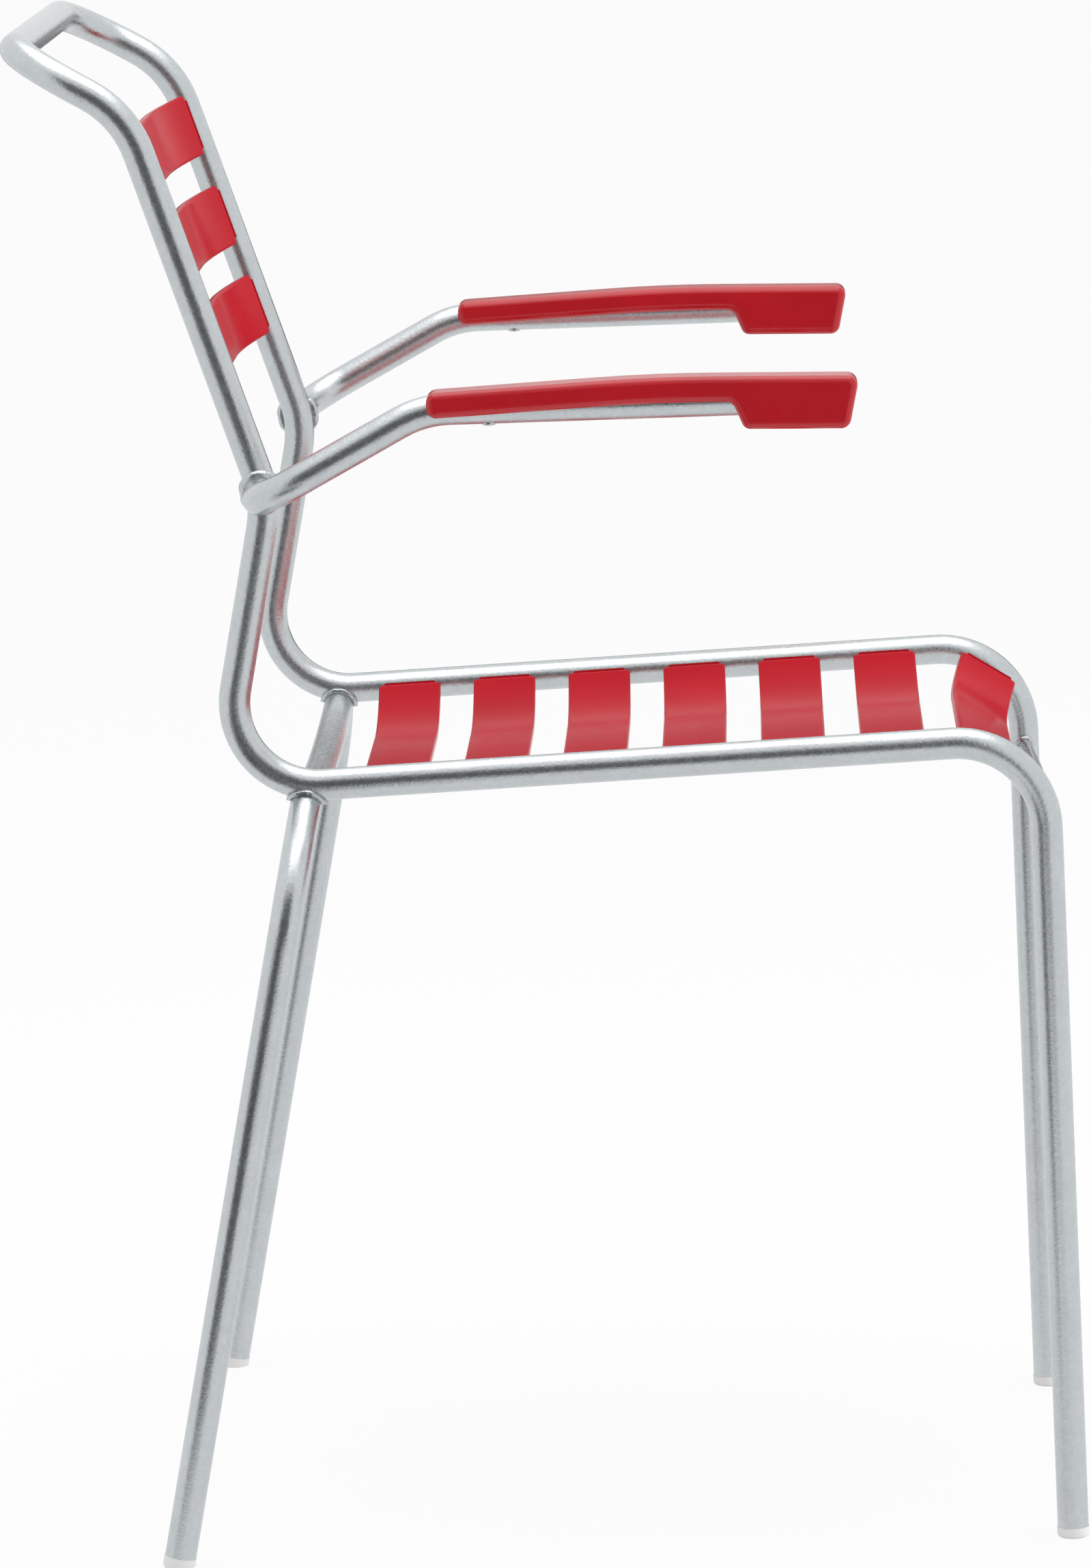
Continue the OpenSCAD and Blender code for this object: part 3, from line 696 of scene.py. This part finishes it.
class CHAIR_OT_crossbars(bpy.types.Operator):
    """Draws the rear crossbar and the front cross rod"""

    bl_idname = "chair.crossbars"
    bl_label = "Crossbar and rod"

    def execute(self, context):
        s = context.scene.garden_chair
        bar = bowed(
            "rear_crossbar", spot(0, s.crossbar), Vector((0, 0, -1)), s.side_x - COPE_GAP,
            s.crossbar_bow, s.tube_radius, s.tube_points)
        cut(bar, side_core(s))
        cut(bar, mirror_core(side_core(s)))
        fit(outward(bar), "rear_crossbar", steel(s))
        rod = bowed(
            "front_cross_rod", spot(0, s.rod), Vector((0, -1, 0)), s.rod_half, s.rod_bow,
            s.rod_radius, ROD_POINTS)
        fit(rod, "front_cross_rod", steel(s))
        return {"FINISHED"}


class CHAIR_OT_welds(bpy.types.Operator):
    """Draws the weld beads at the arms, the rear legs, the crossbar and the rod"""

    bl_idname = "chair.welds"
    bl_label = "Welds"

    def execute(self, context):
        s = context.scene.garden_chair
        rough_steel = finish_of(
            "weld_bead", steel_material, scaled(s.steel, 0.95), smoothest=0.2, roughest=0.4,
            grain=0.5)
        ripple = bpy.data.textures.new("weld_ripple", "CLOUDS")
        ripple.noise_scale = RIPPLE_SIZE
        for node, level in BEAD_LEVELS:
            bead = copied(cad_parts[node], node + "_bead", Matrix.Identity(4))
            bead.parent = None
            # The copy gives up the CAD node's own marks
            for key in list(bead.keys()):
                del bead[key]
            edit(bead)
            bpy.ops.mesh.select_all(action="SELECT")
            bpy.ops.mesh.remove_doubles(threshold=JOINED)
            bpy.ops.object.mode_set(mode="OBJECT")
            apply(bead, "REMESH", mode="VOXEL", voxel_size=BEAD_VOXEL)
            apply(bead, "SMOOTH", factor=BEAD_SMOOTH, iterations=BEAD_SMOOTH_TIMES)
            apply(
                bead, "DISPLACE", texture=ripple, strength=RIPPLE_HEIGHT, mid_level=level,
                texture_coords="LOCAL")
            fit(outward(bead, WELD_SMOOTH), node, rough_steel)
        return {"FINISHED"}


class CHAIR_OT_slats(bpy.types.Operator):
    """Draws a deeper and a shallower dished slat and copies them to the slats' ten places"""

    bl_idname = "chair.slats"
    bl_label = "Slats"

    def execute(self, context):
        s = context.scene.garden_chair
        red = finish_of(
            "crimson_slat", plastic_material, s.slat_red, rough=0.17, grain=0.03, shine=0.015)
        deep, shallow = self.slat(s, s.slat_dish), self.slat(s, s.shallow_dish)
        for i, (name, (corner, up)) in enumerate(zip(SLATS, self.seats(s))):
            normal = spot(0, up)
            along = Vector((1, 0, 0))
            place = Matrix((along, normal.cross(along), normal)).transposed().to_4x4()
            place.translation = spot(0, corner)
            drawn = copied(deep if i < LEVEL_SLATS else shallow, name, place)
            fit(outward(drawn, SLAT_SMOOTH), name, red)
        bpy.data.objects.remove(deep)
        bpy.data.objects.remove(shallow)
        return {"FINISHED"}

    def slat(self, s, dish):
        """A slat in its own place, its ends along X and its top upward."""
        top = s.slat_end_up - dish
        flat = s.slat_flat / 2
        run = s.slat_half - flat
        rise = (run * run + dish * dish) / (2 * dish)
        wall = s.slat_depth - s.slat_round
        deselect()
        bpy.ops.mesh.primitive_plane_add(
            size=1, location=(0, 0, top - s.slat_round - wall / 2), rotation=(0, math.pi / 2, 0))
        bpy.context.object.scale = (wall, s.slat_width, 1)
        slat = named("slat")
        push((flat, 0, 0))
        last = math.asin((run - s.slat_corner - s.slat_depth / 2) / rise)
        turn_round((flat, 0, top + rise), (0, 1, 0), -last, DISH_STEPS)
        # The end runs on well past its place and is cut off square there
        push(Vector((math.cos(last), 0, math.sin(last))) * (s.slat_corner + s.slat_depth) * 2)
        slice_off((s.slat_half, 0, 0), (1, 0, 0), clear_outer=True)
        pick(slat, "FACE", lambda p: p.x < NEAR)
        bpy.ops.mesh.delete(type="FACE")
        bpy.ops.object.mode_set(mode="OBJECT")
        apply(slat, "MIRROR", use_mirror_merge=True, merge_threshold=NEAR)
        outward(slat)
        end, side = s.slat_half - NEAR, s.slat_width / 2 - NEAR
        pick(slat, "EDGE", lambda p: abs(p.x) > end and abs(p.y) > side)
        bpy.ops.mesh.bevel(
            offset=s.slat_corner, segments=SLAT_CORNER_STEPS, affect="EDGES",
            offset_type="OFFSET")
        bpy.ops.object.mode_set(mode="OBJECT")
        self.hollow(slat, s)
        return outward(slat, SLAT_SMOOTH)

    def hollow(self, slat, s):
        """Rounds the top edges and sinks the underside between the turned-down lips."""
        facing(slat, lambda normal: normal.z > UPWARD)
        dome(s.slat_round, SLAT_ROUND_STEPS)
        facing(slat, lambda normal: normal.z < -UPWARD)
        bpy.ops.mesh.inset(thickness=s.slat_lip, depth=0, use_even_offset=True)
        bpy.ops.mesh.extrude_region_shrink_fatten(
            TRANSFORM_OT_shrink_fatten={"value": -(s.slat_depth - s.slat_web)})

    def seats(self, s):
        """Ten places in the side view: a point on the tube's centre line and the slat's facing."""
        front, rear, waist, shoulder, foot = (
            Vector(p) for p in (s.front, s.rear, s.waist, s.shoulder, s.foot))
        rail = (front - rear).normalized()
        step = ((front - rear).length - s.seat_start - s.seat_rest) / (LEVEL_SLATS - 1)
        seats = [
            (rear + rail * (s.seat_start + i * step), (-rail.y, rail.x))
            for i in range(LEVEL_SLATS)]
        ahead, after = (front - foot).normalized(), (rear - front).normalized()
        middle = front - ahead * s.front_bend * math.tan(ahead.angle(after) / 2)
        middle += (after - ahead * ahead.dot(after)).normalized() * s.front_bend
        turn = s.front_slat_turn - math.atan2(rail.y, rail.x)
        tilt = Vector((math.sin(s.front_slat_tilt), math.cos(s.front_slat_tilt)))
        on_bend = middle + Vector((math.sin(turn), math.cos(turn))) * s.front_bend
        seats.append((on_bend - tilt * s.front_slat_sink, tilt))
        back = (shoulder - waist).normalized()
        step = ((shoulder - waist).length - s.back_start - s.back_rest) / (BACK_SLATS - 1)
        return seats + [
            (waist + back * (s.back_start + i * step), (back.y, -back.x))
            for i in range(BACK_SLATS)]


class CHAIR_OT_armrest_pads(bpy.types.Operator):
    """Draws the two armrest pads with the channels for the arm tubes"""

    bl_idname = "chair.armrest_pads"
    bl_label = "Armrest pads"

    def execute(self, context):
        s = context.scene.garden_chair
        red = finish_of("crimson_pad", plastic_material, s.pad_red, rough=0.19, grain=0.15)
        outline = [spot(s.arm_x, corner) for corner, radius in PAD_OUTLINE]
        left = across("armrest_pad", outline[0], s.pad_width - 2 * s.pad_round)
        sweep(outline, [radius for corner, radius in PAD_OUTLINE], PAD_BEND_TURN)
        close(left)
        facing(left, lambda normal: abs(normal.x) > SIDEWAYS)
        dome(s.pad_round, PAD_ROUND_STEPS)
        outward(left)
        path = arm_path(s)[1:]
        path[-1] = path[-1] + (path[-1] - path[-2]).normalized() * CHANNEL_PAST
        channel = tube("channel", path, [0, s.elbow_bend, 0], s.pad_channel, s.tube_points)
        cut(left, channel, "MANIFOLD")
        fit_pair(outward(left), "armrest_pad", red)
        return {"FINISHED"}


class CHAIR_OT_armrest_screws(bpy.types.Operator):
    """Draws the screws that hold the armrest pads from below"""

    bl_idname = "chair.armrest_screws"
    bl_label = "Pad screws"

    def execute(self, context):
        s = context.scene.garden_chair
        zinc = finish_of(
            "zinc_screw", steel_material, s.steel, smoothest=0.2, roughest=0.3, grain=0.1)
        elbow, end = arm_path(s)[2:]
        along = (end - elbow).normalized()
        up = Vector((0, along.z, -along.y))
        seat = elbow + along * s.screw_at - up * (s.tube_radius - SCREW_SUNK)
        screws = ring(
            "armrest_screws_new", seat - up * SCREW_HEAD, up, s.screw_radius, SCREW_POINTS,
            filled=True)
        push(up * SCREW_HEAD)
        bpy.ops.mesh.inset(thickness=SCREW_SHOULDER, depth=0)
        push(up * SCREW_SHANK)
        close(screws)
        pick(screws, "EDGE", lambda p: (p - seat).dot(up) < -SCREW_UNDERSIDE)
        bpy.ops.mesh.bevel(offset=SCREW_ROUND, segments=SCREW_ROUND_STEPS, affect="EDGES")
        pick(screws, "FACE", lambda p: (p - seat).dot(up) < -SCREW_UNDERSIDE)
        bpy.ops.mesh.inset(thickness=RECESS_RIM, depth=0)
        push(up * RECESS_DEPTH)
        outward(screws)
        twin = mirrored(screws, "other")
        activate(screws)
        twin.select_set(True)
        bpy.ops.object.join()
        fit(screws, "armrest_screws", zinc)
        return {"FINISHED"}


class CHAIR_OT_glides(bpy.types.Operator):
    """Draws the four foot glides, cut level with the floor"""

    bl_idname = "chair.glides"
    bl_label = "Glides"

    def execute(self, context):
        s = context.scene.garden_chair
        white = finish_of("pale_glide", plastic_material, s.glide_white, rough=0.4, grain=0.1)
        legs = (
            ("glide_front", spot(s.side_x, s.foot), spot(s.side_x, s.front)),
            ("glide_rear", spot(s.leg_x, s.leg_foot), spot(s.leg_x, s.leg_knee)),
        )
        for name, foot, knee in legs:
            axis = (knee - foot).normalized()
            end = at_height(foot, knee, s.tube_end_h)
            # The flange reaches through the floor all round, so that the floor cuts all of it
            lean = math.hypot(axis.x, axis.y)
            flange = s.tube_end_h / axis.z + s.glide_radius * lean / axis.z
            left = ring(name, end - axis * flange, axis, s.glide_radius, GLIDE_POINTS, filled=True)
            push(axis * flange)
            bpy.ops.mesh.inset(thickness=s.glide_radius - s.stem_radius, depth=0)
            push(axis * s.stem_length)
            close(left)
            pick(left, "EDGE", lambda p: (p - end).dot(axis) < NEAR - flange)
            bpy.ops.mesh.bevel(
                offset=s.glide_round, segments=GLIDE_ROUND_STEPS, affect="EDGES")
            slice_off((0, 0, 0), (0, 0, 1), clear_inner=True)
            fit_pair(outward(left), name, white)
        return {"FINISHED"}


class CHAIR_OT_stage(bpy.types.Operator):
    """Sets up the pale floor, the dark cards round the set, the soft lamps and the camera"""

    bl_idname = "chair.stage"
    bl_label = "Stage"

    def execute(self, context):
        context.scene.view_settings.view_transform = "Standard"
        self.floor(context.scene.garden_chair)
        self.card("card_near", radius=1.5, start=-20, end=36, low=0.15, high=1.45)
        self.card("card_low", radius=0.75, start=10, end=46, low=0.0, high=0.34)
        self.card("card_far", radius=1.5, start=150, end=212, low=0.46, high=0.84)
        self.lights(context)
        self.camera(context)
        return {"FINISHED"}

    def floor(self, s):
        """A wide pale floor that is nearly white where it is seen and still takes shadows."""
        deselect()
        bpy.ops.mesh.primitive_plane_add(size=FLOOR_SIZE)
        floor = named("floor")
        bpy.ops.object.mode_set(mode="OBJECT")
        material, nodes, links, shader = start_material("floor")
        patches = noise(nodes, links, scale=3)
        tint(
            nodes, links, patches, dark=scaled(s.floor_grey, 0.99), light=s.floor_grey,
            shader=shader)
        shader.inputs["Roughness"].default_value = 0.8
        glow, mix = nodes.new("ShaderNodeEmission"), nodes.new("ShaderNodeMixShader")
        share = nodes.new("ShaderNodeMath")
        share.operation = "MULTIPLY"
        share.inputs[1].default_value = FLOOR_GLOW
        links.new(seen_directly(nodes, links), share.inputs[0])
        links.new(share.outputs[0], mix.inputs["Fac"])
        links.new(shader.outputs[0], mix.inputs[1])
        links.new(glow.outputs[0], mix.inputs[2])
        links.new(mix.outputs[0], nodes["Material Output"].inputs["Surface"])
        floor.data.materials.append(material)

    def card(self, name, radius, start, end, low, high):
        """A dark card round part of the set that only shiny surfaces see.

        It stands between two turns in degrees, from the sitter's right round by the rear.
        """
        card = ring(name, Vector((0, 0, low)), Vector((0, 0, 1)), radius, CARD_POINTS)
        push((0, 0, high - low))
        for turn, side in ((start, 1), (end, -1)):
            a = math.radians(turn)
            bpy.ops.mesh.select_all(action="SELECT")
            bpy.ops.mesh.bisect(
                plane_co=(0, 0, 0), plane_no=(side * math.sin(a), side * math.cos(a), 0),
                clear_inner=True)
        activate(card)
        material, nodes, links, shader = start_material(name)
        tint(
            nodes, links, noise(nodes, links, scale=2), dark=(0.09, 0.09, 0.09),
            light=(0.11, 0.11, 0.11), shader=shader)
        shader.inputs["Roughness"].default_value = 0.9
        card.data.materials.append(material)
        for way in ("camera", "diffuse", "shadow", "transmission", "volume_scatter"):
            setattr(card, "visible_" + way, False)

    def lights(self, context):
        """An even world that is white where it is seen, and two soft lamps."""
        world = bpy.data.worlds.new("studio")
        world.use_nodes = True
        context.scene.world = world
        nodes, links = world.node_tree.nodes, world.node_tree.links
        back = nodes["Background"]
        level = nodes.new("ShaderNodeMapRange")
        level.inputs["To Min"].default_value = WORLD_LIGHT
        level.inputs["To Max"].default_value = WORLD_SEEN
        links.new(seen_directly(nodes, links), level.inputs["Value"])
        links.new(level.outputs["Result"], back.inputs["Strength"])
        back.inputs["Color"].default_value = (1, 1, 1, 1)
        self.lamp(context, "overhead", size=(2.2, 2.2), watts=26, at=(0, 0, 2.6))
        # This one faces the sitter and shows in no shiny surface
        front = self.lamp(context, "front", size=(2.0, 1.0), watts=27, at=(0, -3.0, 0.5))
        front.rotation_euler.x = math.pi / 2
        front.visible_camera = front.visible_glossy = False

    def lamp(self, context, name, size, watts, at):
        """A soft rectangular lamp that shines down."""
        light = bpy.data.lights.new(name, "AREA")
        light.shape = "RECTANGLE"
        light.size, light.size_y = size
        light.energy = watts
        holder = bpy.data.objects.new(name, light)
        holder.location = at
        context.scene.collection.objects.link(holder)
        return holder

    def camera(self, context):
        """The photograph's camera."""
        lens = bpy.data.cameras.new("camera")
        lens.lens, lens.sensor_width = CAMERA_LENS, CAMERA_SENSOR
        level = math.cos(CAMERA_PITCH)
        ahead = Vector((
            level * math.cos(CAMERA_YAW), level * math.sin(CAMERA_YAW), -math.sin(CAMERA_PITCH)))
        right = ahead.cross(Vector((0, 0, 1))).normalized()
        up = right.cross(ahead)
        side = right * math.cos(CAMERA_ROLL) + up * math.sin(CAMERA_ROLL)
        top = up * math.cos(CAMERA_ROLL) - right * math.sin(CAMERA_ROLL)
        place = Matrix((side, top, -ahead)).transposed().to_4x4()
        place.translation = CAMERA_PLACE
        holder = bpy.data.objects.new("camera", lens)
        holder.matrix_world = place
        context.scene.collection.objects.link(holder)
        context.scene.camera = holder


OPERATORS = (
    CHAIR_OT_side_tubes, CHAIR_OT_rear_legs, CHAIR_OT_arm_tubes, CHAIR_OT_crossbars,
    CHAIR_OT_welds, CHAIR_OT_slats, CHAIR_OT_armrest_pads, CHAIR_OT_armrest_screws,
    CHAIR_OT_glides, CHAIR_OT_stage,
)


class CHAIR_PT_panel(bpy.types.Panel):
    """The chair's settings and steps in the sidebar"""

    bl_idname = "CHAIR_PT_panel"
    bl_label = "Garden chair"
    bl_space_type = "VIEW_3D"
    bl_region_type = "UI"
    bl_category = "Chair"

    def draw(self, context):
        column = self.layout.column()
        settings = (
            "tube_radius", "side_x", "leg_x", "arm_x", "slat_dish", "steel", "slat_red",
            "pad_red",
        )
        for name in settings:
            column.prop(context.scene.garden_chair, name)
        for step in OPERATORS:
            column.operator(step.bl_idname)


CLASSES = (ChairSettings, *OPERATORS, CHAIR_PT_panel)


def register():
    """Adds the chair's classes and settings."""
    for each in CLASSES:
        bpy.utils.register_class(each)
    bpy.types.Scene.garden_chair = PointerProperty(type=ChairSettings)


def unregister():
    """Takes them away again."""
    del bpy.types.Scene.garden_chair
    for each in reversed(CLASSES):
        bpy.utils.unregister_class(each)


def main():
    """Draws the chair and its stage."""
    register()
    bpy.ops.chair.side_tubes()
    bpy.ops.chair.rear_legs()
    bpy.ops.chair.arm_tubes()
    bpy.ops.chair.crossbars()
    bpy.ops.chair.welds()
    bpy.ops.chair.slats()
    bpy.ops.chair.armrest_pads()
    bpy.ops.chair.armrest_screws()
    bpy.ops.chair.glides()
    bpy.ops.chair.stage()


if __name__ == "__main__":
    main()
